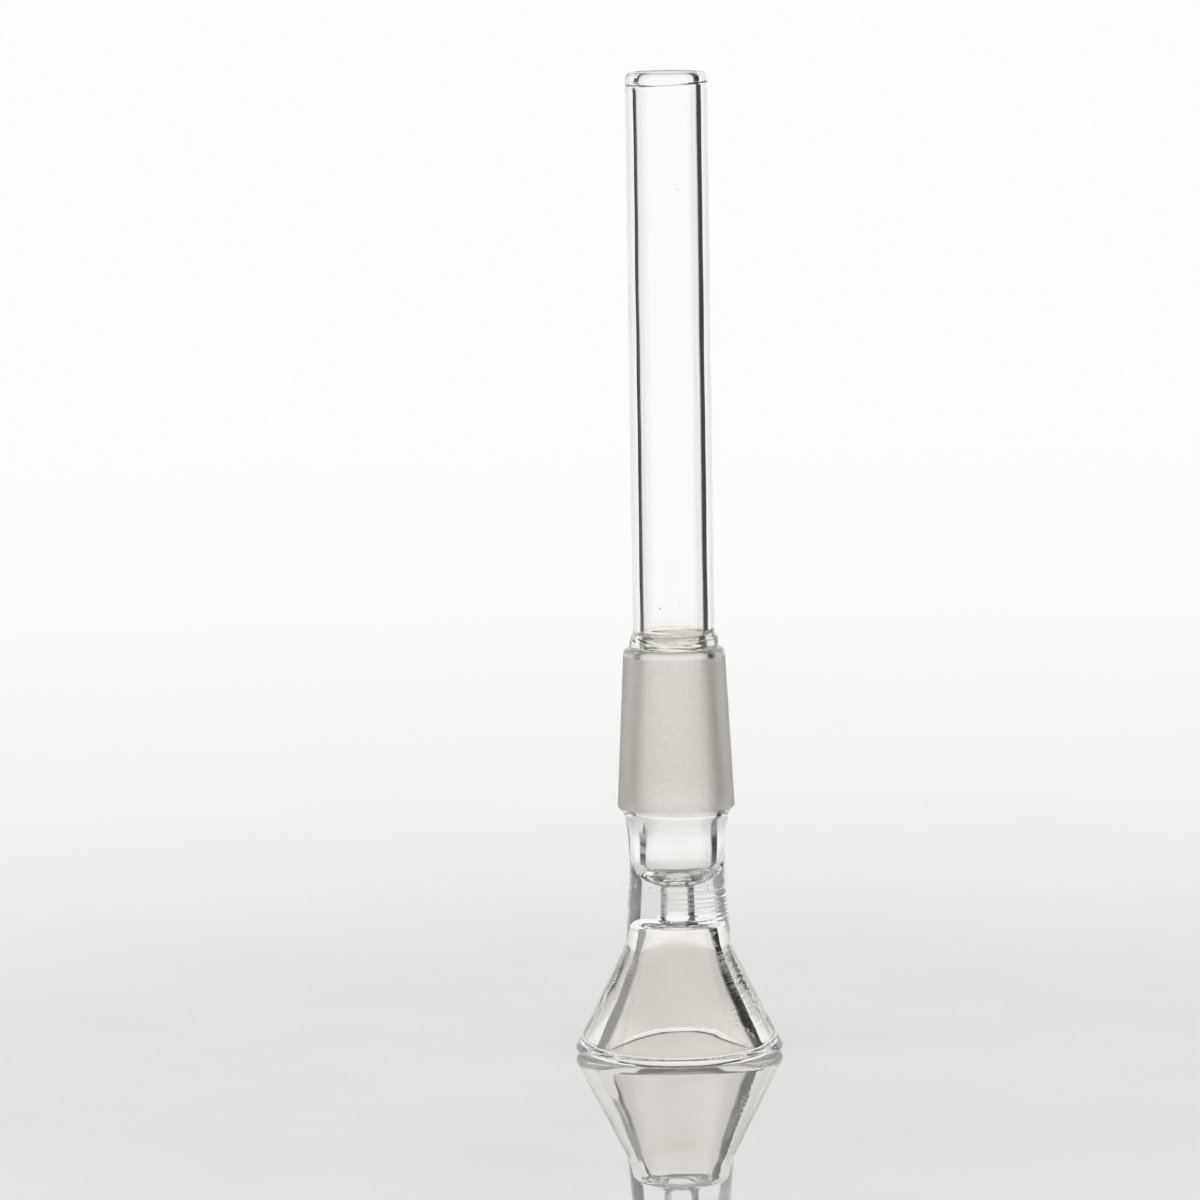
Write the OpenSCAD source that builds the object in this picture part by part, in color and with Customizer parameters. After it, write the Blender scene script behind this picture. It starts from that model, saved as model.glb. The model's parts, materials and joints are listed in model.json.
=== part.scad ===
// Lamp-worked glass bowl with a male ground taper joint and a long open stem, all on one axis.
// It stands on the mouth of its bowl with the stem pointing up. The axis is +Z, and the origin
// is the centre of the mouth's flat face. Each module is one section of the glass, and the
// sections meet face to face where a glassblower seals or shapes them.

/* [Stem tube] */
// Outside diameter of the stem tube
stem_d = 10.1; // [9.6:0.1:10.8]
// Wall of the stem tube
stem_wall = 1.3; // [1.1:0.1:1.6]
// Length of the stem tube above its seal
stem_len = 68.8; // [20:0.1:150]
// Height of the fire-polished lip
lip_h = 1.75; // [1.6:0.05:2.5]
// How far the lip stands into the bore
lip_bead = 0.24; // [0.1:0.02:0.26]

/* [Stem seal] */
// Height of the ring of fused glass between the stem and the joint
seal_h = 2.3; // [2:0.1:4]
// How far the fused ring narrows the bore
seal_pinch = 0.4; // [0.1:0.05:0.8]

/* [Ground joint] */
// Diameter of the ground cone at its large end
joint_d = 14.5; // [14.3:0.1:14.7]
// Length of the ground cone, which tapers by one tenth on the diameter
joint_len = 19; // [15:0.5:24]
// Wall of the joint
joint_wall = 2; // [1.8:0.1:2.3]
// Height of the clear shoulder under the large end
large_shoulder_h = 1.2; // [0.8:0.1:2]
// Height of the clear shoulder over the small end
small_shoulder_h = 0.7; // [0.4:0.1:1.2]

/* [Joint shank] */
// Outside diameter of the shank at its waist
waist_d = 11.8; // [11.4:0.1:12.4]
// Outside diameter of the shank under the joint
shank_top_d = 12.9; // [12.6:0.1:13.2]
// Length of the shank, from the throat to the joint
shank_len = 8.7; // [6:0.1:12]
// Inside diameter of the shank
shank_bore_d = 8.6; // [7.8:0.1:8.8]
// Depth of the shank's domed floor
floor_depth = 3.2; // [2:0.1:4]

/* [Throat] */
// Diameter of the narrow hole through the throat
throat_d = 3.1; // [2:0.1:4]
// Length of the throat, from the roof corner of the bowl to the shank
throat_len = 5.6; // [5:0.1:8]
// Outside diameter of the throat where the bowl starts
throat_base_d = 12.92; // [12.6:0.02:13.2]
// Depth of the bowl's rounded roof
roof_depth = 1.1; // [0.8:0.05:1.4]

/* [Bowl] */
// Outside diameter of the bowl at its mouth
mouth_d = 25.7; // [24:0.1:28]
// Inside diameter of the bowl at its mouth
mouth_bore_d = 18.6; // [17:0.1:20]
// Height of the bowl
bowl_h = 15.4; // [14:0.1:18]
// Inside diameter of the bowl under its roof
roof_d = 8.2; // [7.6:0.1:8.8]
// Outward slope of the bowl's outside, in millimetres of radius for each millimetre of height
bowl_slope = 0.505; // [0.46:0.005:0.53]
// Outward slope of the bowl's inside under its roof
wall_slope_top = 0.2; // [0.1:0.02:0.24]
// Outward slope of the bowl's inside at its mouth
wall_slope_mouth = 0.55; // [0.5:0.05:0.8]
// Height of the rounded outer edge of the mouth
mouth_edge_h = 0.9; // [0.5:0.05:1.2]

/* [Hidden] */

$fn = 96;
arc_steps = 10;

// Radius lost for each millimetre of height on a 1:10 ground cone
joint_taper = 1 / 20;
// Radius lost over the clear shoulder between the cone and the seal
small_shoulder_drop = 0.75;
// Radius lost inside the large shoulder, where the joint's cavity meets the shank
cavity_step = 0.45;
// Radius that the seal's ring adds to the bore at its lower face
seal_step = 0.2;
// Radius that the shank gains between its waist and the throat
waist_flare = 0.05;

// Heights at which the sections meet, from the mouth up
throat_z = bowl_h;
shank_z = throat_z + throat_len;
joint_z = shank_z + shank_len;
cone_z = joint_z + large_shoulder_h;
cone_top_z = cone_z + joint_len;
seal_z = cone_top_z + small_shoulder_h;
stem_z = seal_z + seal_h;
top_z = stem_z + stem_len;

// Radii that sections share
stem_r = stem_d / 2;
stem_bore_r = stem_r - stem_wall;
joint_r = joint_d / 2;
small_end_r = joint_r - joint_len * joint_taper;
seal_r = small_end_r - small_shoulder_drop;
seal_bore_r = stem_bore_r + seal_step;
cavity_r = joint_r - joint_wall;
shank_top_r = shank_top_d / 2;
shank_mouth_r = cavity_r - cavity_step;
shank_base_r = waist_d / 2 + waist_flare;
shank_bore_r = shank_bore_d / 2;
throat_r = throat_d / 2;
throat_base_r = throat_base_d / 2;
roof_r = roof_d / 2;

// A stretch of an ellipse, from angle a0 to angle a1
function arc(centre, radii, a0, a1) =
    [for (i = [0:arc_steps])
        let (a = a0 + (a1 - a0) * i / arc_steps)
        [centre.x + radii.x * cos(a), centre.y + radii.y * sin(a)]];

// A smooth curve from p0 to p2 that leaves and arrives along its lines to p1
function bend(p0, p1, p2) =
    [for (i = [0:arc_steps])
        let (t = i / arc_steps)
        (1 - t) * (1 - t) * p0 + 2 * t * (1 - t) * p1 + t * t * p2];

// A solid turned about the axis from an outline of [radius, height] points
module turned(outline) {
    rotate_extrude() polygon(outline);
}

// Straight tube with a fire-polished lip that rolls slightly into the bore
module stem_tube() {
    lip_r = stem_bore_r - lip_bead;
    foot_z = top_z - lip_h;
    // The bead leaves the bore in a short step, whose middle is here
    step_r = stem_bore_r - lip_bead / 2;
    step_z = foot_z + 0.3;
    step_half_h = 0.05;
    step_top_z = step_z + 0.4;
    outer_corner = [0.65, 0.95];
    inner_corner = 0.35;
    color("azure", 0.5)
        turned(concat(
            [[stem_r, stem_z]],
            arc([stem_r - outer_corner.x, top_z - outer_corner.y], outer_corner, 0, 90),
            arc([lip_r + inner_corner, top_z - inner_corner], [inner_corner, inner_corner],
                90, 180),
            bend([lip_r, step_top_z], [lip_r, step_z + step_half_h], [step_r, step_z]),
            bend([step_r, step_z], [stem_bore_r, step_z - step_half_h], [stem_bore_r, foot_z]),
            [[stem_bore_r, stem_z]]));
}

// Ring of fused glass that seals the stem on to the joint's small end
module stem_seal() {
    fold_h = 1.5;
    bulge_top_z = seal_z + 0.5;
    bulge_corner_z = seal_z + 1.3;
    neck_z = seal_z + 1.8;
    color("ivory", 0.6)
        turned(concat(
            [[seal_r, seal_z]],
            bend([seal_r, bulge_top_z], [seal_r, bulge_corner_z], [stem_r, neck_z]),
            [[stem_r, stem_z], [stem_bore_r, stem_z]],
            bend([stem_bore_r, seal_z + fold_h],
                [stem_bore_r - 2 * seal_pinch, seal_z + fold_h / 2],
                [seal_bore_r, seal_z])));
}

// Male taper joint: the ground cone and the clear shoulder at each of its ends
module ground_joint() {
    shoulder_swell = 0.25;
    cavity_top_z = cone_top_z - small_shoulder_h;
    cavity_top_r = small_end_r - joint_wall;
    color("whitesmoke", 0.9)
        turned(concat(
            bend([shank_top_r, joint_z],
                [shank_top_r + shoulder_swell, joint_z + large_shoulder_h / 2],
                [joint_r, cone_z]),
            bend([small_end_r, cone_top_z], [small_end_r, seal_z], [seal_r, seal_z]),
            bend([seal_bore_r, seal_z], [cavity_top_r, seal_z - small_shoulder_h / 2],
                [cavity_top_r, cavity_top_z]),
            bend([cavity_r, cone_z + large_shoulder_h], [cavity_r, cone_z],
                [shank_mouth_r, joint_z])));
}

// Clear shank of the joint, necked to a waist and closed by a domed floor round the throat hole
module joint_shank() {
    waist_z = shank_z + shank_len / 4;
    waist_top_z = waist_z + shank_len * 0.45;
    floor_share = sqrt(1 - pow(throat_r / shank_bore_r, 2));
    bore_top_z = joint_z - shank_len * 0.36;
    color("azure", 0.6)
        turned(concat(
            [[throat_r, shank_z]],
            [[shank_base_r, shank_z]],
            bend([waist_d / 2, waist_z], [waist_d / 2, waist_top_z], [shank_top_r, joint_z]),
            bend([shank_mouth_r, joint_z], [shank_bore_r, (joint_z + bore_top_z) / 2],
                [shank_bore_r, bore_top_z]),
            arc([0, shank_z + floor_depth * floor_share], [shank_bore_r, floor_depth],
                0, -asin(floor_share))));
}

// Solid web between the shank and the bowl, with its narrow hole and the bowl's rounded roof
module throat_web() {
    roof_z = throat_z + roof_depth;
    corner_w = 1.5;
    flare_w = 0.8;
    flare_h = 1.3;
    color("azure", 0.7)
        turned(concat(
            [[throat_base_r, throat_z]],
            [[shank_base_r, shank_z]],
            [[throat_r, shank_z]],
            bend([throat_r, roof_z + flare_h], [throat_r, roof_z], [throat_r + flare_w, roof_z]),
            arc([roof_r - corner_w, throat_z], [corner_w, roof_depth], 90, 0)));
}

// Thick-walled cone that flares to the mouth, which is rounded about a flat ring
module bowl_cone() {
    mouth_r = mouth_d / 2;
    mouth_bore_r = mouth_bore_d / 2;
    outer_edge_w = 1;
    inner_edge = [1.2, 0.6];
    // The bowl leaves the throat in a smooth bend about this corner of the outline
    neck_r = throat_base_r + 0.1;
    neck_z = mouth_edge_h + (mouth_r - neck_r) / bowl_slope;
    bend_h = 0.8;
    // Where the wall's tangent under the roof meets its tangent at the mouth
    tangent_z = (mouth_bore_r - roof_r - wall_slope_top * throat_z + wall_slope_mouth * inner_edge.y)
        / (wall_slope_mouth - wall_slope_top);
    tangent_r = roof_r + wall_slope_top * (throat_z - tangent_z);
    color("azure", 0.6)
        turned(concat(
            [[throat_base_r, throat_z]],
            bend([neck_r, neck_z + bend_h], [neck_r, neck_z],
                [neck_r + bend_h * bowl_slope, neck_z - bend_h]),
            arc([mouth_r - outer_edge_w, mouth_edge_h], [outer_edge_w, mouth_edge_h], 0, -90),
            arc([mouth_bore_r + inner_edge.x, inner_edge.y], inner_edge, -90, -180),
            bend([mouth_bore_r, inner_edge.y], [tangent_r, tangent_z], [roof_r, throat_z])));
}

stem_tube();
stem_seal();
ground_joint();
joint_shank();
throat_web();
bowl_cone();
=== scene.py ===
"""Looks for the ground-joint glass funnel with a long stem: six pieces of lamp-worked glass.

One closed outline of the whole glass is turned about the axis, roughened as hand-worked glass is,
and cut into the six sections of the CAD at their seals."""
import json
import math

import bpy
import numpy as np
from mathutils import Matrix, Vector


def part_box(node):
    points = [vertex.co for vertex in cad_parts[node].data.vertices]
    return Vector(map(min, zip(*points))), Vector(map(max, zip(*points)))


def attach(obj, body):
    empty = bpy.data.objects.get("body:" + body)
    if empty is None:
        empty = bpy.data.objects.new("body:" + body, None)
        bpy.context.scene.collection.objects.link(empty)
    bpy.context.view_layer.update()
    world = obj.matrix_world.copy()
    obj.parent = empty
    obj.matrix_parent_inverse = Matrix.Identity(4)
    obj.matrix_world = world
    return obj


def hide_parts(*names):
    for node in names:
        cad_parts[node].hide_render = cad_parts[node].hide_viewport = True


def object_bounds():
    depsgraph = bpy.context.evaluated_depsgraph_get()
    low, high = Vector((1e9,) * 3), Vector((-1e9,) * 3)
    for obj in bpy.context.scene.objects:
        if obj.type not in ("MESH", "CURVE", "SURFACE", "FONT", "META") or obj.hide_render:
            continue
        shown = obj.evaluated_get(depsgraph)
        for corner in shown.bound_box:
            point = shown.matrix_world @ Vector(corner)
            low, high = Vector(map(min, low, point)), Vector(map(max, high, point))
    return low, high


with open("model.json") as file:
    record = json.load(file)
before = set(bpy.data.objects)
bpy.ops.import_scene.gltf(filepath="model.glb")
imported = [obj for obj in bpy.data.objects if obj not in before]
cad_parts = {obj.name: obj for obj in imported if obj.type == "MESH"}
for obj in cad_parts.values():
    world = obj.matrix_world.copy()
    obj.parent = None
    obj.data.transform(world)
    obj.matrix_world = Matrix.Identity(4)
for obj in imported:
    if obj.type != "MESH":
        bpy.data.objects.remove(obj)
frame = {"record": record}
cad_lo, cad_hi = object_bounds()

# Lengths are in millimetres until the meshes are made
MM = 0.001
TAU = 2 * math.pi
# Points round each row of the mesh, and their angles about the axis
SEGMENTS = 240
THETA = np.arange(SEGMENTS) * TAU / SEGMENTS
# Spacing of the points of the outline
STEP = 0.02


def low_z(node):
    """The height at which a CAD section starts."""
    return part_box(node)[0].z / MM


def widest(node):
    """The largest radius of a CAD section."""
    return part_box(node)[1].x / MM


mounts = {m["name"]: m for m in frame["record"]["mounts"]}
throat_z, shank_z, joint_z = low_z("throat_web"), low_z("joint_shank"), low_z("ground_joint")
seal_z, stem_z = low_z("stem_seal"), low_z("stem_tube")
top_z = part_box("stem_tube")[1].z / MM
cone_z = mounts["ground_cone"]["pos_m"][2] / MM
cone_top_z = cone_z + mounts["ground_cone"]["dims"]["length_mm"]
stem_r = mounts["stem_outside"]["dims"]["r_mm"]
bore_r = mounts["stem_bore"]["dims"]["r_mm"]
hole_r = mounts["throat_hole"]["dims"]["r_mm"]
joint_r = mounts["ground_cone"]["dims"]["r_mm"]
# A 1:10 cone loses 1 mm of radius over 20 mm of height
small_end_r = joint_r - (cone_top_z - cone_z) / 20
mouth_r = widest("bowl_cone")
throat_base_r = widest("throat_web")
shank_top_r = widest("joint_shank")
seal_r = widest("stem_seal")
# Heights of the seals between the sections
WELDS = [throat_z, shank_z, joint_z, seal_z, stem_z]


# ---------------------------------------------------------------- the outline
def line(p0, p1):
    """A straight stretch of the outline."""
    p0, p1 = np.array(p0, float), np.array(p1, float)
    n = max(2, int(np.hypot(*(p1 - p0)) / STEP))
    t = np.linspace(0, 1, n)[:, None]
    return p0 + (p1 - p0) * t


def arc(centre, radii, a0, a1):
    """A stretch of an ellipse, from angle a0 to angle a1 in degrees."""
    n = max(8, int(max(radii) * math.radians(abs(a1 - a0)) / STEP))
    a = np.radians(np.linspace(a0, a1, n))
    return np.stack([centre[0] + radii[0] * np.cos(a), centre[1] + radii[1] * np.sin(a)], 1)


def bend(p0, p1, p2):
    """A smooth curve from p0 to p2 that leaves and arrives along its lines to p1."""
    p0, p1, p2 = (np.array(p, float) for p in (p0, p1, p2))
    n = max(8, int((np.hypot(*(p1 - p0)) + np.hypot(*(p2 - p1))) / STEP))
    t = np.linspace(0, 1, n)[:, None]
    return (1 - t) ** 2 * p0 + 2 * t * (1 - t) * p1 + t * t * p2


def joined(parts):
    """One polyline from stretches that follow each other, with straight lines between them."""
    points = [parts[0]]
    for part in parts[1:]:
        gap = np.hypot(*(part[0] - points[-1][-1]))
        if gap > STEP:
            points.append(line(points[-1][-1], part[0])[1:])
        points.append(part)
    p = np.concatenate(points)
    keep = np.hypot(*np.diff(p, axis=0, append=p[:1]).T) > 1e-6
    return p[keep]


def bowl_stretches():
    """Down the outside of the bowl, across the mouth, up the inside and over the rounded roof."""
    mouth_bore_r, roof_r, roof_depth, roof_corner_w = 9.3, 4.1, 1.1, 1.5
    outer_edge, inner_edge = [1.0, 0.9], [1.2, 0.6]
    slope, slope_top, slope_mouth = 0.505, 0.2, 0.55
    # The bowl leaves the throat in a smooth bend about this corner of the outline
    neck_r = throat_base_r + 0.1
    neck_z = outer_edge[1] + (mouth_r - neck_r) / slope
    bend_h = 0.8
    # Where the inside's tangent under the roof meets its tangent at the mouth
    tangent_z = (mouth_bore_r - roof_r - slope_top * throat_z + slope_mouth * inner_edge[1]) \
        / (slope_mouth - slope_top)
    tangent_r = roof_r + slope_top * (throat_z - tangent_z)
    # The roof rolls over into the hole
    roof_z = throat_z + roof_depth
    flare_w, flare_h = 0.8, 1.3
    return [
        bend([neck_r, neck_z + bend_h], [neck_r, neck_z],
             [neck_r + bend_h * slope, neck_z - bend_h]),
        arc([mouth_r - outer_edge[0], outer_edge[1]], outer_edge, 0, -90),
        arc([mouth_bore_r + inner_edge[0], inner_edge[1]], inner_edge, -90, -180),
        bend([mouth_bore_r, inner_edge[1]], [tangent_r, tangent_z], [roof_r, throat_z]),
        arc([roof_r - roof_corner_w, throat_z], [roof_corner_w, roof_depth], 0, 90),
        bend([hole_r + flare_w, roof_z], [hole_r, roof_z], [hole_r, roof_z + flare_h]),
    ]


def cavity_stretches():
    """From the top of the hole over the shank's domed floor, up the joint and past the seal."""
    shank_bore_r, floor_depth, hole_edge = 4.3, 3.2, 0.22
    joint_wall, cavity_step, seal_step = 2.0, 0.45, 0.2
    shank_len, shoulder_h = joint_z - shank_z, cone_z - joint_z
    # The share of the floor's depth that is left where the hole cuts the dome
    floor_share = math.sqrt(1 - (hole_r / shank_bore_r) ** 2)
    floor = arc([0, shank_z + floor_depth * floor_share], [shank_bore_r, floor_depth],
                -math.degrees(math.asin(floor_share)), 0)
    floor = floor[np.hypot(floor[:, 0] - hole_r, floor[:, 1] - shank_z) > hole_edge]
    # The shank's bore starts to narrow at this share of its length below the joint
    flare = 0.36
    cavity_r, cavity_top_r = joint_r - joint_wall, small_end_r - joint_wall
    shank_mouth_r, seal_bore_r = cavity_r - cavity_step, bore_r + seal_step
    cavity_top_z = cone_top_z - (seal_z - cone_top_z)
    # The fold of fused glass inside the stem's seal
    fold_h, pinch = 1.5, 0.8
    return [
        bend([hole_r, shank_z - hole_edge], [hole_r, shank_z], floor[0]),
        floor,
        bend([shank_bore_r, joint_z - flare * shank_len],
             [shank_bore_r, joint_z - flare / 2 * shank_len], [shank_mouth_r, joint_z]),
        bend([shank_mouth_r, joint_z], [cavity_r, cone_z], [cavity_r, cone_z + shoulder_h]),
        bend([cavity_top_r, cavity_top_z], [cavity_top_r, (seal_z + cone_top_z) / 2],
             [seal_bore_r, seal_z]),
        bend([seal_bore_r, seal_z], [bore_r - pinch, seal_z + fold_h / 2],
             [bore_r, seal_z + fold_h]),
    ]


def lip_stretches():
    """Over the stem's lip, which rolls slightly into the bore, and down its outer edge."""
    lip_bead, lip_h = 0.24, 1.5
    lip_r, lip_z = bore_r - lip_bead, top_z - lip_h / 2
    # The bead leaves the bore in a short step
    step_r = bore_r - 0.5 * lip_bead
    foot_z, foot_bend_z, step_z, head_bend_z, head_z = (
        lip_z - depth for depth in (1.0, 0.75, 0.7, 0.65, 0.3))
    inner_corner, outer_corner = [0.35, 0.35], [0.65, 0.95]
    return [
        bend([bore_r, foot_z], [bore_r, foot_bend_z], [step_r, step_z]),
        bend([step_r, step_z], [lip_r, head_bend_z], [lip_r, head_z]),
        arc([lip_r + inner_corner[0], top_z - inner_corner[1]], inner_corner, 180, 90),
        arc([stem_r - outer_corner[0], top_z - outer_corner[1]], outer_corner, 90, 0),
    ]


def outside_stretches():
    """Down the outside from the stem to the bowl: the seal, the ground joint and the shank."""
    neck_h, bulge_corner_h, bulge_top_h = 1.8, 1.3, 0.5
    shoulder_swell = 0.25
    # The shank's waist is between these shares of its length
    waist_r, waist_flare, waist_low, waist_high = 5.9, 0.05, 0.25, 0.7
    shank_len, shoulder_h = joint_z - shank_z, cone_z - joint_z
    return [
        bend([stem_r, seal_z + neck_h], [seal_r, seal_z + bulge_corner_h],
             [seal_r, seal_z + bulge_top_h]),
        line([seal_r, seal_z + bulge_top_h], [seal_r, seal_z]),
        bend([seal_r, seal_z], [small_end_r, seal_z], [small_end_r, cone_top_z]),
        bend([joint_r, cone_z], [shank_top_r + shoulder_swell, joint_z + shoulder_h / 2],
             [shank_top_r, joint_z]),
        bend([shank_top_r, joint_z], [waist_r, shank_z + waist_high * shank_len],
             [waist_r, shank_z + waist_low * shank_len]),
        line([waist_r + waist_flare, shank_z], [throat_base_r, throat_z]),
    ]


def along(p):
    """Distance along a closed polyline, one value for each point and the whole length."""
    gaps = np.hypot(*(np.roll(p, -1, 0) - p).T)
    return np.concatenate([[0], np.cumsum(gaps)])


def smoothed(p, width):
    """The closed polyline at even steps, softened over about that width as a flame does."""
    s = along(p)
    n = int(s[-1] / STEP)
    even = np.arange(n) * s[-1] / n
    closed = np.concatenate([p, p[:1]])
    p = np.stack([np.interp(even, s, closed[:, i]) for i in (0, 1)], 1)
    half = int(4 * width / STEP)
    k = np.exp(-0.5 * (np.arange(-half, half + 1) * STEP / width) ** 2)
    k /= k.sum()
    wrapped = np.concatenate([p[-half:], p, p[:half]])
    return np.stack([np.convolve(wrapped[:, i], k, "valid") for i in (0, 1)], 1)


# ---------------------------------------------------------------- unevenness of hand-worked glass
rng = np.random.default_rng(8)


class Waves:
    """A smooth random field over the glass, of about unit size, the same on each run. Its waves
    measure from shortest to longest along the outline, with up to that many lobes round it."""

    def __init__(self, count, shortest, longest, lobes):
        self.k = TAU / np.exp(rng.uniform(math.log(shortest), math.log(longest), count))
        self.lobes = rng.integers(-lobes, lobes + 1, count)
        self.phase = rng.uniform(0, TAU, count)
        self.size = math.sqrt(2 / count)

    def __call__(self, s):
        total = np.zeros((len(s), SEGMENTS))
        for k, lobe, phase in zip(self.k, self.lobes, self.phase):
            total += np.sin(k * s[:, None] + lobe * THETA[None] + phase)
        return total * self.size


def window(x, a, b, soft):
    """1 between a and b, 0 outside, with soft edges."""
    t = np.clip((x - a) / soft + 0.5, 0, 1) * np.clip((b - x) / soft + 0.5, 0, 1)
    return t * t * (3 - 2 * t)


bowl_ripple = Waves(7, 0.28, 0.5, 5)
bowl_lump = Waves(6, 3, 9, 3)
roof_lump = Waves(6, 1.2, 3, 4)
hole_lump = Waves(5, 2.0, 4.0, 2)
floor_lump = Waves(9, 0.5, 1.4, 14)
web_ripple = Waves(6, 0.45, 0.9, 1)
shank_lump = Waves(4, 4, 9, 2)
seal_lump = Waves(7, 0.6, 1.6, 2)
stem_lump = Waves(5, 12, 40, 2)
lip_lump = Waves(5, 1.5, 5, 4)
bowl_chatter = Waves(6, 0.6, 1.3, 3)


def displacement(s, r, z, inner):
    """How far each point of the surface stands out along its normal, in millimetres."""
    bore = inner.astype(float)
    skin = 1 - bore
    all_round = np.ones(SEGMENTS)
    right = (0.5 + 0.5 * np.cos(THETA)) ** 8
    front_right = (0.5 + 0.5 * np.cos(THETA + math.radians(25))) ** 3
    in_bowl = window(z, 4, throat_z - 2.2, 2)
    on_roof = window(z, throat_z - 0.5, throat_z + 2, 1) * window(r, 2.2, 4.4, 0.6)
    in_hole = window(z, throat_z + 1.5, shank_z + 0.1, 1.0) * window(r, 0, 1.9, 0.3)
    on_floor = window(z, shank_z - 0.1, shank_z + 2.4, 0.5) * window(r, 1.5, 4.2, 0.4)
    # Where it is along the outline, where it is round the axis, its field and its height
    unevenness = [
        (bore * in_bowl, all_round, bowl_ripple, 0.0016),
        (bore * window(z, 3.5, throat_z, 3), all_round, bowl_lump, 0.012),
        (skin * window(z, 1.5, throat_z, 2), all_round, bowl_lump, 0.012),
        (bore * on_roof, all_round, roof_lump, 0.012),
        (bore * in_hole, all_round, hole_lump, 0.012),
        (bore * on_floor, all_round, floor_lump, 0.0025),
        (skin * window(z, throat_z + 1.2, shank_z, 1.5), front_right, web_ripple, 0.045),
        (bore * window(z, 2.5, throat_z - 2.5, 2.5), right, bowl_chatter, 0.004),
        (window(z, shank_z, joint_z, 2), all_round, shank_lump, 0.015),
        (bore * window(z, seal_z - 0.4, seal_z + 2.0, 0.8), all_round, seal_lump, 0.045),
        (skin * window(z, seal_z + 0.3, seal_z + 2.0, 0.8), all_round, seal_lump, 0.02),
        (window(z, stem_z + 1, top_z - 2.5, 4), all_round, stem_lump, 0.008),
        (bore * window(z, top_z - 2.6, top_z - 0.4, 0.6), all_round, lip_lump, 0.02),
    ]
    return sum(where[:, None] * field(s) * height * side
               for where, side, field, height in unevenness)


# ---------------------------------------------------------------- the surface of the whole glass
def inner_side(p):
    """True for the points of the outline that face the bores, from the mouth's ring to the lip."""
    low, high = int(np.argmin(p[:, 1])), int(np.argmax(p[:, 1]))
    i = np.arange(len(p))
    return (i > low) & (i < high) if low < high else (i > low) | (i < high)


def weld_places(z, s):
    """Places along the outline where it crosses the height of a seal."""
    ends = []
    for weld in WELDS:
        for i in np.nonzero((z - weld) * (np.roll(z, -1) - weld) <= 0)[0]:
            a, b = z[i], z[(i + 1) % len(z)]
            if a != b:
                ends.append(s[i] + (weld - a) / (b - a) * (s[i + 1] - s[i]))
    ends = sorted(set(round(e, 4) for e in ends))
    # Crossings closer than this are one
    nearest = 0.1
    merged = [ends[0]]
    for e in ends[1:]:
        if e - merged[-1] > nearest:
            merged.append(e)
    return merged


def row_places(p, s):
    """Places along the outline for the rows of the mesh, close together where it bends or ripples,
    with one row exactly at each section's end. Returns them and the rows at those ends."""
    length = s[-1]
    step_len = length / len(p)
    d1 = (np.roll(p, -1, 0) - np.roll(p, 1, 0)) / (2 * step_len)
    turn = np.abs(np.arctan2(*np.roll(d1, -1, 0).T[::-1]) - np.arctan2(*np.roll(d1, 1, 0).T[::-1]))
    turn = np.minimum(turn, TAU - turn) / (2 * step_len)
    # The turn is averaged over this many points
    spread = 31
    wrapped = np.concatenate([turn[-(spread // 2):], turn, turn[:spread // 2]])
    turn = np.convolve(wrapped, np.ones(spread) / spread, "valid")
    # A row for each such turn in radians, within these limits of spacing
    row_turn, closest, farthest = 0.1, 0.05, 0.9
    step = np.clip(row_turn / (turn + 1e-6), closest, farthest)
    z = p[:, 1]
    # The inside of the bowl carries the finest ripples
    in_bowl = inner_side(p) & (z > 0.6) & (z < throat_z + 2)
    step[in_bowl] = 0.065
    for low, high, most in ((throat_z + 0.5, shank_z + 3, 0.1), (seal_z - 1, stem_z + 1, 0.08)):
        band = (z > low) & (z < high)
        step[band] = np.minimum(step[band], most)
    # Rows counted along the outline, twice round it so that a section may pass its start
    count = np.concatenate([[0], np.cumsum(np.diff(s) / step)])
    twice_s = np.concatenate([s, s[1:] + length])
    twice_count = np.concatenate([count, count[1:] + count[-1]])
    ends = weld_places(z, s)
    places, marks = [], []
    for i, a in enumerate(ends):
        b = ends[(i + 1) % len(ends)]
        b = b if b > a else b + length
        ca, cb = np.interp([a, b], twice_s, twice_count)
        n = max(3, int(math.ceil(cb - ca)))
        marks.append(len(places))
        rows = np.linspace(ca, cb, n, endpoint=False)
        places.extend(np.interp(rows, twice_count, twice_s) % length)
    return np.array(places), marks


def tilted(where, height, towards):
    """The rise that leans that part of the outline, by that height on the side at that angle."""
    return where[:, None] * height * np.cos(THETA - math.radians(towards))


# How far the flame softens the corners
SOFTENED = 0.06
points = smoothed(joined(bowl_stretches() + cavity_stretches() + lip_stretches()
                         + outside_stretches()), SOFTENED)
# The outline starts on the outside of the glass, at the seal between the bowl and the throat
outside = points[:, 0] > 0.9 * throat_base_r
start = int(np.argmin(np.where(outside, np.abs(points[:, 1] - throat_z), top_z)))
points = np.roll(points, -start, 0)
s_along = along(points)
places, marks = row_places(points, s_along)
closed = np.concatenate([points, points[:1]])
row_r, row_z = (np.interp(places, s_along, closed[:, i]) for i in (0, 1))
tangent = (np.roll(points, -3, 0) - np.roll(points, 3, 0))
tangent /= np.hypot(*tangent.T)[:, None]
closed_tangent = np.concatenate([tangent, tangent[:1]])
row_t = np.stack([np.interp(places, s_along, closed_tangent[:, i]) for i in (0, 1)], 1)
row_n = np.stack([-row_t[:, 1], row_t[:, 0]], 1)
row_n /= np.hypot(*row_n.T)[:, None]
inner = inner_side(points)
row_inner = inner[np.clip(np.round(places / STEP).astype(int), 0, len(inner) - 1)]

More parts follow.
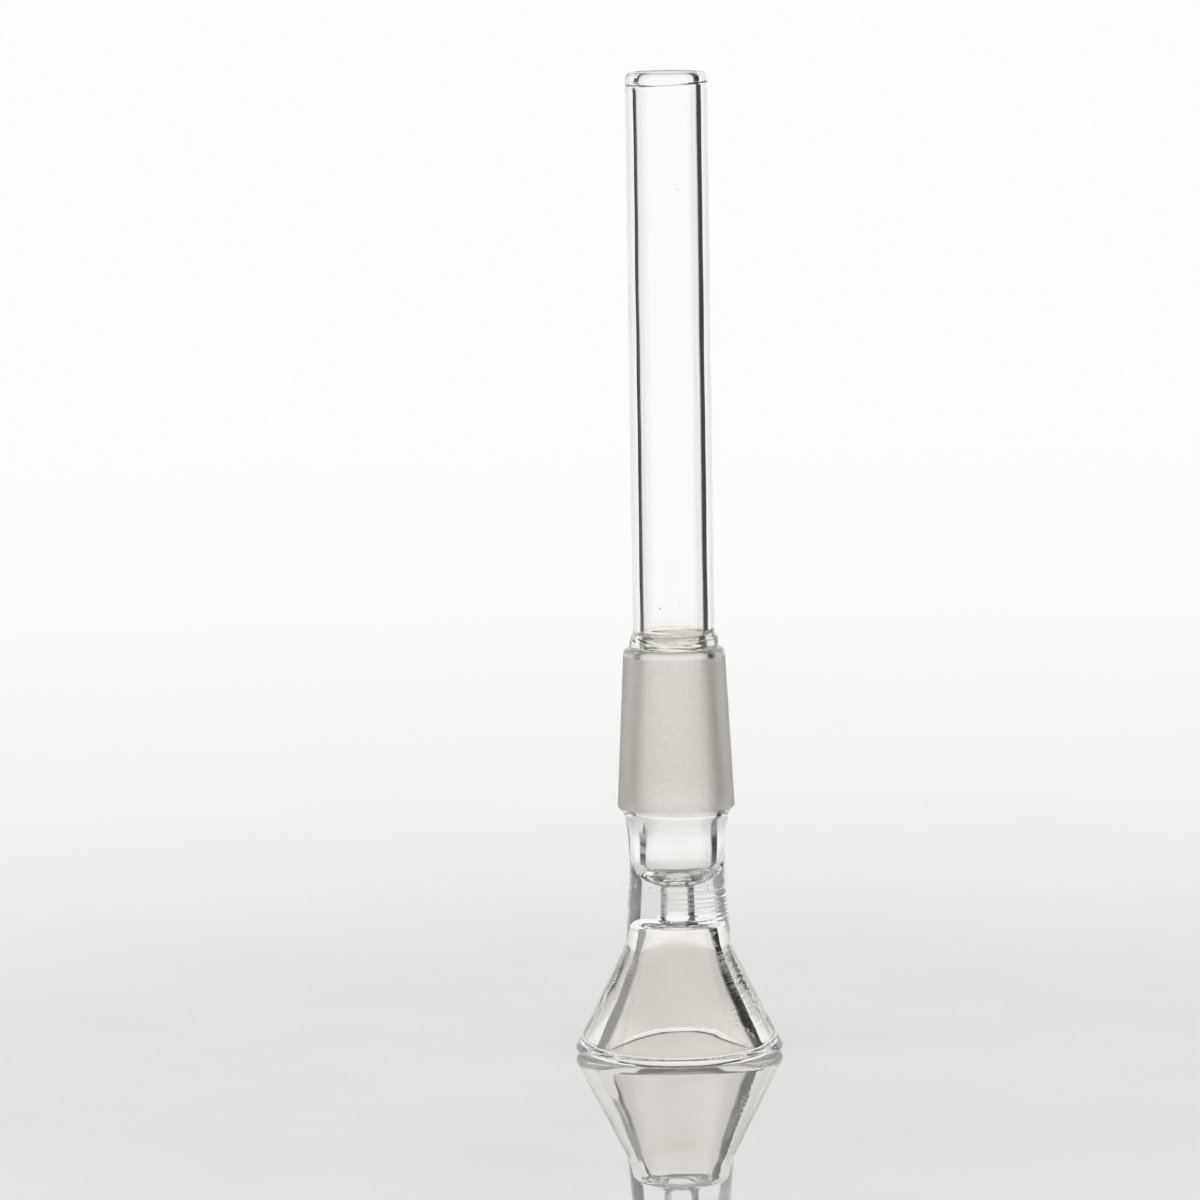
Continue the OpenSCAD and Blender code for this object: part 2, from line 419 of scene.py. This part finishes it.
lift = displacement(places, row_r, row_z, row_inner)
rr = row_r[:, None] + row_n[:, :1] * lift
zz = row_z[:, None] + row_n[:, 1:] * lift
in_bead = row_inner * window(row_z, top_z - 2.2, top_z - 0.6, 0.5)
in_seal = window(row_z, seal_z + 0.2, seal_z + 1.9, 0.6)
in_shank = row_inner * window(row_z, shank_z + 1.2, joint_z + 0.5, 2)
zz += tilted(in_bead, -0.16, 200)
zz += tilted(in_seal * row_inner, 0.2, 190)
zz += tilted(in_seal * (1 - row_inner), -0.14, 170)
# The shank's cavity was blown slightly narrow and slightly off the axis
CAVITY_NARROWED, CAVITY_SHIFTED = 0.16, 0.16
rr -= in_shank[:, None] * CAVITY_NARROWED
grid = np.stack([rr * np.cos(THETA), rr * np.sin(THETA), zz], 2)
grid[:, :, 0] += in_shank[:, None] * CAVITY_SHIFTED
down = np.roll(grid, -1, 0) - np.roll(grid, 1, 0)
round_ = np.roll(grid, -1, 1) - np.roll(grid, 1, 1)
normals = np.cross(down, round_)
normals /= np.linalg.norm(normals, axis=2)[:, :, None]
# Nothing may stand outside the CAD's own box
grid = np.clip(grid, np.array(cad_lo) / MM, np.array(cad_hi) / MM)


# ---------------------------------------------------------------- materials
# Refractive index of borosilicate glass
IOR = 1.473
# Noise scale of a tint that changes slowly over a piece
SLOW = 140


class Tree:
    """The node tree of a new material or world, with short ways to add to it."""

    def __init__(self, owner, output):
        owner.use_nodes = True
        self.owner = owner
        self.nodes, self.links = owner.node_tree.nodes, owner.node_tree.links
        self.nodes.clear()
        self.out = self.nodes.new(output)

    def put(self, value, socket):
        """Sets a socket to a plain value, or links it to another node's output."""
        if isinstance(value, bpy.types.NodeSocket):
            self.links.new(value, socket)
        else:
            socket.default_value = value

    def add(self, kind, inputs=None, **settings):
        """A new node of that kind with its settings and inputs."""
        node = self.nodes.new("ShaderNode" + kind)
        for name, value in settings.items():
            setattr(node, name, value)
        for name, value in (inputs or {}).items():
            self.put(value, node.inputs[name])
        return node

    def finish(self, shader):
        """Shows that shader, and returns the material or world."""
        self.put(shader, self.out.inputs["Surface"])
        return self.owner

    def maths(self, operation, *values):
        """A sum, product or the like of numbers and of other nodes' outputs."""
        return self.add("Math", dict(enumerate(values)), operation=operation).outputs["Value"]

    def step(self, value, start, end):
        """0 before start, 1 past end, and smooth between them."""
        limits = {"Value": value, "From Min": start, "From Max": end}
        return self.add("MapRange", limits, interpolation_type="SMOOTHSTEP").outputs["Result"]

    def blend(self, share, at_0, at_1):
        """A number that goes from at_0 to at_1 as the share goes from 0 to 1."""
        limits = {"Value": share, "To Min": at_0, "To Max": at_1}
        return self.add("MapRange", limits).outputs["Result"]

    def mix(self, share, a, b):
        """A colour that goes from a to b as the share goes from 0 to 1."""
        mix = self.add("Mix", {"Factor": share, "A": a, "B": b}, data_type="RGBA")
        return mix.outputs["Result"]

    def noise(self, scale, detail, stretch=(1, 1, 1)):
        """Noise over an object, and the place on the object."""
        where = self.add("TexCoord").outputs["Object"]
        mapped = self.add("Mapping", {"Vector": where, "Scale": stretch}).outputs["Vector"]
        noise = self.add("TexNoise", {"Vector": mapped, "Scale": scale, "Detail": detail})
        return noise.outputs["Fac"], where

    def ramp(self, source, stops):
        """The colour at that place between stops of (position, colour)."""
        ramp = self.add("ValToRGB", {"Fac": source})
        elements = ramp.color_ramp.elements
        elements.remove(elements[-1])
        elements[0].position = stops[0][0]
        elements[0].color = (*stops[0][1], 1)
        for position, colour in stops[1:]:
            elements.new(position).color = (*colour, 1)
        return ramp.outputs["Color"]

    def tint(self, scale, tint_a, tint_b):
        """A slow, faint change between two tints."""
        return self.ramp(self.noise(scale, 1.0)[0], [(0.35, tint_a), (0.65, tint_b)])


def new_material(name):
    """The tree of a new material of that name."""
    return Tree(bpy.data.materials.new(name), "ShaderNodeOutputMaterial")


def clear_glass(name, tint_a, tint_b, scale=SLOW):
    """Clear borosilicate glass."""
    tree = new_material(name)
    glass = tree.add("BsdfPrincipled", {
        "Transmission Weight": 1.0, "Roughness": 0.0, "IOR": IOR,
        "Base Color": tree.tint(scale, tint_a, tint_b),
    })
    return tree.finish(glass.outputs["BSDF"])


def frosted_glass(name):
    """Ground glass between the ends of the cone, and clear glass on the shoulders."""
    tree = new_material(name)
    grain, where = tree.noise(3800, 4.0)
    edge_noise, _ = tree.noise(2500, 2.0, (1, 1, 0.3))
    # How far the ends of the grinding wander
    wander = 0.25
    height = tree.maths("MULTIPLY_ADD", edge_noise, wander * MM,
                        tree.add("SeparateXYZ", {"Vector": where}).outputs["Z"])
    large_end = tree.step(height, (cone_z - 0.15) * MM, cone_z * MM)
    small_end = tree.step(height, (cone_top_z - 0.02) * MM, (cone_top_z - 0.2) * MM)
    ground = tree.maths("MULTIPLY", large_end, small_end)
    matt = tree.ramp(grain, [(0.4, (0.86, 0.826, 0.755)), (0.6, (1.0, 0.972, 0.928))])
    glass = tree.add("BsdfPrincipled", {
        "IOR": IOR,
        "Transmission Weight": tree.blend(ground, 1.0, 0.86),
        "Roughness": tree.blend(ground, 0.0, 0.5),
        "Base Color": tree.mix(ground, (0.98, 0.985, 0.98, 1), matt),
    })
    return tree.finish(glass.outputs["BSDF"])


def fused_face(name):
    """The flat faces inside the fused joins, where the real glass has no surface at all."""
    tree = new_material(name)
    face = tree.add("BsdfPrincipled", {
        "Alpha": 0.0,
        "Base Color": tree.tint(SLOW, (0.97, 0.97, 0.965), (0.99, 0.99, 0.985)),
    })
    return tree.finish(face.outputs["BSDF"])


CLEAR = {
    "bowl_cone": clear_glass("glass_bowl", (0.93, 0.915, 0.89), (0.964, 0.951, 0.93)),
    "throat_web": clear_glass("glass_throat", (0.965, 0.97, 0.965), (0.99, 0.99, 0.985)),
    "joint_shank": clear_glass("glass_shank", (0.975, 0.98, 0.975), (0.995, 0.995, 0.99)),
    "ground_joint": clear_glass("glass_joint", (0.97, 0.97, 0.965), (0.99, 0.99, 0.985)),
    "stem_seal": clear_glass("glass_seal", (0.87, 0.86, 0.76), (0.985, 0.98, 0.955), 600),
    "stem_tube": clear_glass("glass_stem", (0.985, 0.99, 0.99), (1.0, 1.0, 1.0)),
}
FROSTED = frosted_glass("glass_ground")
FUSED = fused_face("fused_face")
# Places of the three materials on each mesh
CLEAR_SLOT, FUSED_SLOT, GROUND_SLOT = 0, 1, 2

# ---------------------------------------------------------------- the six pieces
# Small bubbles in the glass: where each one is, and its radius
BUBBLES = {
    "throat_web": [
        ((-2.6, -1.2, 20.9), 0.10), ((2.9, -1.0, 21.0), 0.13), ((1.9, 2.1, 21.1), 0.09),
    ],
    "stem_tube": [
        ((1.2, -4.3, 107.5), 0.06), ((-1.6, -4.1, 55.9), 0.09), ((0.7, -4.4, 56.6), 0.05),
    ],
}


def bubble(centre, radius):
    """A small round void, drawn out upwards: its points, its faces, which look inwards, and the
    normals at its points."""
    drawn_out = 1.4
    rings, w = 12, 24
    verts = []
    for i in range(1, rings):
        a = math.pi * i / rings
        for j in range(w):
            b = TAU * j / w
            verts.append((math.sin(a) * math.cos(b), math.sin(a) * math.sin(b),
                          drawn_out * math.cos(a)))
    top, bottom = len(verts), len(verts) + 1
    verts += [(0, 0, drawn_out), (0, 0, -drawn_out)]
    last_ring = (rings - 2) * w
    faces = []
    for i in range(0, last_ring, w):
        for j in range(w):
            k = (j + 1) % w
            faces.append((i + j, i + k, i + w + k, i + w + j))
    for j in range(w):
        k = (j + 1) % w
        faces.append((top, k, j))
        faces.append((bottom, last_ring + j, last_ring + k))
    verts = np.array(verts)
    away = -verts / np.linalg.norm(verts, axis=1)[:, None]
    return verts * radius + np.array(centre), faces, away


def rows_between(first, last):
    """Row numbers from one mark to another, round the closed outline, both included."""
    n = len(places)
    count = (last - first) % n
    return [(first + i) % n for i in range(count + 1)]


def mark_at(height, outside):
    """The row at a section's end, on the outside of the glass or in the bore."""
    nearby = 0.12
    marks_there = sorted((m for m in marks if abs(row_z[m] - height) < nearby),
                         key=lambda m: row_r[m])
    return marks_there[-1 if outside else 0]


def bore_mark(height):
    """The row at a section's end in the bore."""
    return mark_at(height, False)


def outside_mark(height):
    """The row at a section's end on the outside."""
    return mark_at(height, True)


def build(node, runs):
    """A closed mesh from the rows of one section, with flat faces where it meets its neighbours."""
    rows = [i for run in runs for i in run]
    # A flat face follows the last row of each run
    caps = np.cumsum([len(run) for run in runs]) - 1
    n = len(rows)
    i, j = np.meshgrid(np.arange(n), np.arange(SEGMENTS), indexing="ij")
    this_row, next_row = i * SEGMENTS, (i + 1) % n * SEGMENTS
    j2 = (j + 1) % SEGMENTS
    quads = np.stack([this_row + j, next_row + j, next_row + j2, this_row + j2], 2).reshape(-1, 4)
    z = row_z[rows]
    slot_of_row = np.full(n, CLEAR_SLOT)
    if node == "ground_joint":
        ground = ~row_inner[rows] & (z > joint_z + 0.1) & (z < seal_z - 0.05)
        slot_of_row[ground] = GROUND_SLOT
    slot_of_row[caps] = FUSED_SLOT
    slots = np.repeat(slot_of_row, SEGMENTS).tolist()
    loops = normals[rows].reshape(-1, 3)[quads]
    middle = 0.5 * (min(z) + max(z))
    for cap in caps:
        loops[cap * SEGMENTS:(cap + 1) * SEGMENTS] = (0, 0, 1 if z[cap] > middle else -1)
    loops = loops.reshape(-1, 3)
    verts = grid[rows].reshape(-1, 3)
    faces = quads.tolist()
    for centre, radius in BUBBLES.get(node, []):
        v, f, away = bubble(centre, radius)
        faces += [tuple(len(verts) + k for k in face) for face in f]
        verts = np.concatenate([verts, v])
        slots += [CLEAR_SLOT] * len(f)
        loops = np.concatenate([loops] + [away[list(face)] for face in f])
    mesh = bpy.data.meshes.new(node + "_glass")
    mesh.from_pydata((verts * MM).tolist(), [], faces)
    mesh.materials.append(CLEAR[node])
    mesh.materials.append(FUSED)
    if node == "ground_joint":
        mesh.materials.append(FROSTED)
    mesh.polygons.foreach_set("material_index", slots)
    mesh.polygons.foreach_set("use_smooth", [True] * len(faces))
    mesh.update()
    mesh.normals_split_custom_set(loops.tolist())
    piece = bpy.data.objects.new(node + "_glass", mesh)
    bpy.context.scene.collection.objects.link(piece)
    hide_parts(node)
    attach(piece, "root")


build("bowl_cone", [rows_between(outside_mark(throat_z), bore_mark(throat_z))])
for node, low, high in (("throat_web", throat_z, shank_z), ("joint_shank", shank_z, joint_z),
                        ("ground_joint", joint_z, seal_z), ("stem_seal", seal_z, stem_z)):
    build(node, [rows_between(bore_mark(low), bore_mark(high)),
                 rows_between(outside_mark(high), outside_mark(low))])
build("stem_tube", [rows_between(bore_mark(stem_z), outside_mark(stem_z))])


# ---------------------------------------------------------------- floor
def grey(value):
    """A neutral colour."""
    return (value, value, value)


def floor_material():
    """A pale sheet that mirrors more towards grazing, and fades out into the backdrop's light."""
    tree = new_material("floor_sheet")
    noise, where = tree.noise(30, 3.0)
    facing = tree.add("LayerWeight", {"Blend": 0.5}).outputs["Facing"]
    mirror_share = tree.ramp(facing, [(0.0, grey(0.3)), (0.5, grey(0.48)), (0.81, grey(0.58)),
                                      (0.86, grey(0.65)), (0.95, grey(0.86)), (1.0, grey(1.0))])
    shine = tree.ramp(noise, [(0.3, (0.985, 0.97, 0.96)), (0.7, (1.0, 0.99, 0.975))])
    pale = tree.ramp(noise, [(0.3, (0.86, 0.85, 0.835)), (0.7, (0.89, 0.88, 0.865))])
    distance = tree.add("VectorMath", {0: where}, operation="LENGTH").outputs["Value"]
    fade = tree.ramp(distance, [(0.0, grey(0.0)), (0.08, grey(0.0)), (0.2, grey(0.45)),
                                (0.35, grey(0.75)), (0.55, grey(0.95)), (0.8, grey(1.0))])
    diffuse = tree.add("BsdfDiffuse", {"Color": pale}).outputs["BSDF"]
    mirror = tree.add("BsdfGlossy", {"Roughness": 0.0, "Color": shine}).outputs["BSDF"]
    sheet = tree.add("MixShader", {0: mirror_share, 1: diffuse, 2: mirror}).outputs["Shader"]
    clear = tree.add("BsdfTransparent").outputs["BSDF"]
    return tree.finish(tree.add("MixShader", {0: fade, 1: sheet, 2: clear}).outputs["Shader"])


def make_floor():
    """A round floor in rings, in metres, just under the ring that the glass stands on."""
    radii = [0.02, 0.05, 0.1, 0.2, 0.4, 0.8, 1.2]
    gap = 0.00002
    n = 96
    verts = [(0, 0, 0)]
    for r in radii:
        verts += [(r * math.cos(TAU * k / n), r * math.sin(TAU * k / n), 0) for k in range(n)]
    faces = [(0, 1 + k, 1 + (k + 1) % n) for k in range(n)]
    for i in range(len(radii) - 1):
        a, b = 1 + i * n, 1 + (i + 1) * n
        faces += [(a + k, b + k, b + (k + 1) % n, a + (k + 1) % n) for k in range(n)]
    mesh = bpy.data.meshes.new("floor")
    mesh.from_pydata(verts, [], faces)
    mesh.materials.append(floor_material())
    floor = bpy.data.objects.new("floor", mesh)
    floor.location.z = -gap
    bpy.context.scene.collection.objects.link(floor)


make_floor()


# ---------------------------------------------------------------- light
def make_world(flags):
    """A white surround with soft-edged dark flags, which draw the dark lines in the glass."""
    world = bpy.data.worlds.new("studio")
    bpy.context.scene.world = world
    tree = Tree(world, "ShaderNodeOutputWorld")
    where = tree.add("TexCoord").outputs["Generated"]
    direction = tree.add("SeparateXYZ", {"Vector": where}).outputs
    azimuth = tree.maths("ARCTAN2", direction["X"], direction["Y"])
    elevation = tree.maths("ARCSINE", direction["Z"])

    def within(angle, low, high, soft):
        """1 from low to high and 0 outside, with edges that wide, all in degrees."""
        rise = [math.radians(low - soft / 2), math.radians(low + soft / 2)]
        fall = [math.radians(high + soft / 2), math.radians(high - soft / 2)]
        return tree.maths("MULTIPLY", tree.step(angle, *rise), tree.step(angle, *fall))

    dark = None
    for az0, az1, soft_az, el0, el1, soft_el, depth in flags:
        patch = tree.maths("MULTIPLY", within(azimuth, az0, az1, soft_az),
                           within(elevation, el0, el1, soft_el))
        patch = tree.maths("MULTIPLY", patch, depth)
        dark = patch if dark is None else tree.maths("MAXIMUM", dark, patch)
    sky = tree.mix(dark, (0.985, 0.98, 0.975, 1), (0.006, 0.005, 0.005, 1))
    light = tree.add("Background", {"Color": sky, "Strength": 1.0})
    tree.finish(light.outputs["Background"])


# Azimuth from +Y towards +X from, to and softness, the same for elevation, and depth
make_world([
    (36, 92, 2, -60, 13, 3, 1.0),
    (36, 46, 2, 12, 16, 1.5, 1.0),
    (36, 92, 4, 13, 22, 3, 0.88),
    (36, 92, 2, 22, 62, 3, 1.0),
    (-84, -54, 2, -60, -1, 3, 1.0),
    (-54, -42, 1, -15, -1, 3, 1.0),
    (-84, -37, 2, -1, 20, 2, 0.68),
    (-84, -52, 4, 20, 62, 2, 1.0),
    (-100, 100, 4, 47, 95, 4, 1.0),
    (-190, 190, 4, 61, 95, 4, 1.0),
])


# ---------------------------------------------------------------- camera
def make_camera():
    """A long lens in front of the glass and a little above it, in metres and degrees."""
    place = (0, -1.0, 0.170)
    pan, down, roll = 0.519, 6.47, -0.857
    data = bpy.data.cameras.new("camera")
    data.sensor_width = 36
    data.lens = 244.35
    data.clip_start, data.clip_end = 0.05, 20
    camera = bpy.data.objects.new("camera", data)
    bpy.context.scene.collection.objects.link(camera)
    camera.location = place
    turn = Matrix.Rotation(math.radians(pan), 3, "Z") \
        @ Matrix.Rotation(math.radians(90 - down), 3, "X") \
        @ Matrix.Rotation(math.radians(roll), 3, "Z")
    camera.rotation_euler = turn.to_euler()
    bpy.context.scene.camera = camera


make_camera()

# ---------------------------------------------------------------- render settings
scene = bpy.context.scene
scene.view_settings.view_transform = "Standard"
# Light passes through many walls of glass before it leaves the part
scene.cycles.max_bounces = 40
scene.cycles.transmission_bounces = 36
scene.cycles.glossy_bounces = 16
scene.cycles.diffuse_bounces = 3
scene.cycles.transparent_max_bounces = 64
scene.cycles.caustics_reflective = True
scene.cycles.caustics_refractive = True
